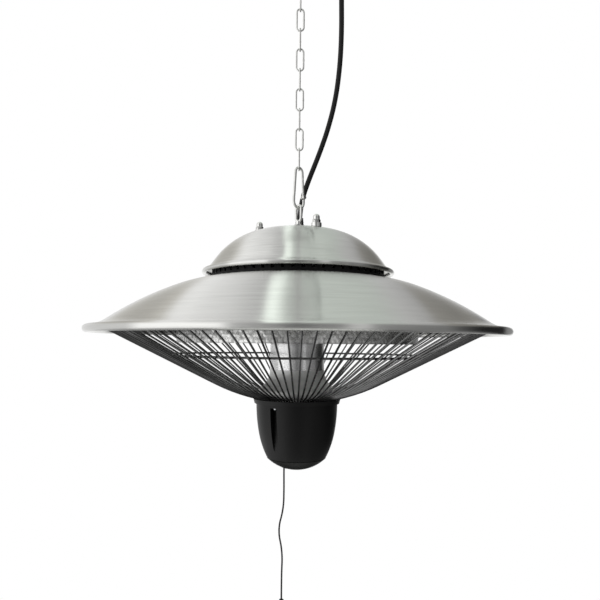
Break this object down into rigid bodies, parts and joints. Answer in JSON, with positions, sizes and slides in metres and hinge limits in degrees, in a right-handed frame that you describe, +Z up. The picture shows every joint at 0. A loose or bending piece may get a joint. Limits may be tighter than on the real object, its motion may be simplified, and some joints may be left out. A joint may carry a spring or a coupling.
{
  "type": "hanging patio heater",
  "caption": "Hanging electric patio heater: spun metal hat over a ring element in a wire grille, chain and snap hook above, pull-cord switch housing below.",
  "frame": {"origin": "middle of the ceiling plate's upper face", "axes": "+Z up, -Y towards the camera, +X to the right"},
  "size_m": [0.6, 0.6, 0.9931],
  "materials": {
    "spun_aluminium": "circular brushed",
    "hammered_aluminium": "hammered, bright",
    "polished_aluminium": "mirror polished",
    "bright_steel": "bright plated",
    "grille_steel": "bright wire",
    "zinc_steel": "zinc plated",
    "black_plastic": "satin black",
    "white_ceramic": "unglazed ceramic",
    "switch_plastic": "moulded",
    "black_rubber": "matt",
    "clear_quartz": "clear",
    "element_wire": "oxidised",
    "braided_cord": "braided",
    "plate_paint": "powder coat",
    "vent_paint": "black powder coat"
  },
  "bodies": {
    "ceiling": {"ceiling_plate": "plate_paint", "ceiling_hook": "bright_steel", "ceiling_grip": "black_plastic"},
    "heater": {"brim": "spun_aluminium", "top_cap": "spun_aluminium", "reflector_bowl": "hammered_aluminium", "column": "polished_aluminium", "column_foot": "polished_aluminium", "chain_links": "bright_steel", "snap_hook": "bright_steel", "gate_pin": "bright_steel", "hanger_eye": "bright_steel", "hanger_nut": "bright_steel", "cap_nuts": "bright_steel", "grille_wires": "grille_steel", "grille_ring_outer": "grille_steel", "grille_ring_mid": "grille_steel", "grille_ring_inner": "grille_steel", "tie_studs": "zinc_steel", "stud_sleeves": "zinc_steel", "stud_nuts": "zinc_steel", "support_plate": "zinc_steel", "hanger_locknuts": "zinc_steel", "centre_pipe": "zinc_steel", "pipe_nuts": "zinc_steel", "grille_clips": "zinc_steel", "element_clips": "zinc_steel", "housing_screws": "zinc_steel", "wheel_pin": "zinc_steel", "return_spring": "zinc_steel", "collar": "black_plastic", "control_housing": "black_plastic", "bottom_cover": "black_plastic", "cord_bush": "black_plastic", "element_end_caps": "white_ceramic", "terminal_block": "white_ceramic", "switch_case": "switch_plastic", "switch_lid": "switch_plastic", "power_lead": "black_rubber", "lead_bush": "black_rubber", "seal_washers": "black_rubber", "switch_cable": "black_rubber", "element_leads": "black_rubber", "quartz_tube": "clear_quartz", "filament": "element_wire", "vent_ring": "vent_paint"},
    "gate": {"snap_gate": "bright_steel"},
    "pull": {"plunger": "switch_plastic", "pull_cord": "braided_cord", "pull_knob": "black_plastic"},
    "wheel": {"ratchet_wheel": "switch_plastic"}
  },
  "joints": [
    {"name": "swing", "type": "hinge", "parent": "ceiling", "child": "heater", "pos_m": [0, 0, -0.034], "axis": [0, 1, 0], "range_deg": [-25, 25], "deforming": ["power_lead"]},
    {"name": "gate_hinge", "type": "hinge", "parent": "heater", "child": "gate", "pos_m": [0.00689, 0.00689, -0.36598], "axis": [0.7071, -0.7071, 0], "range_deg": [0, 25], "stiffness_Nm_per_rad": 0.02, "springref_deg": -20.05},
    {"name": "pull_slide", "type": "slide", "parent": "heater", "child": "pull", "axis": [0, 0, -1], "range_m": [0, 0.01], "stiffness_N_per_m": 400, "springref_m": -0.006, "deforming": ["return_spring"]},
    {"name": "wheel_turn", "type": "hinge", "parent": "heater", "child": "wheel", "pos_m": [0.0011, 0, -0.70963], "axis": [0, -1, 0], "range_deg": [0, 45]}
  ],
  "couplings": [
    {"joint": "wheel_turn", "follows": "pull_slide", "rad_per_m": 78.54}
  ]
}
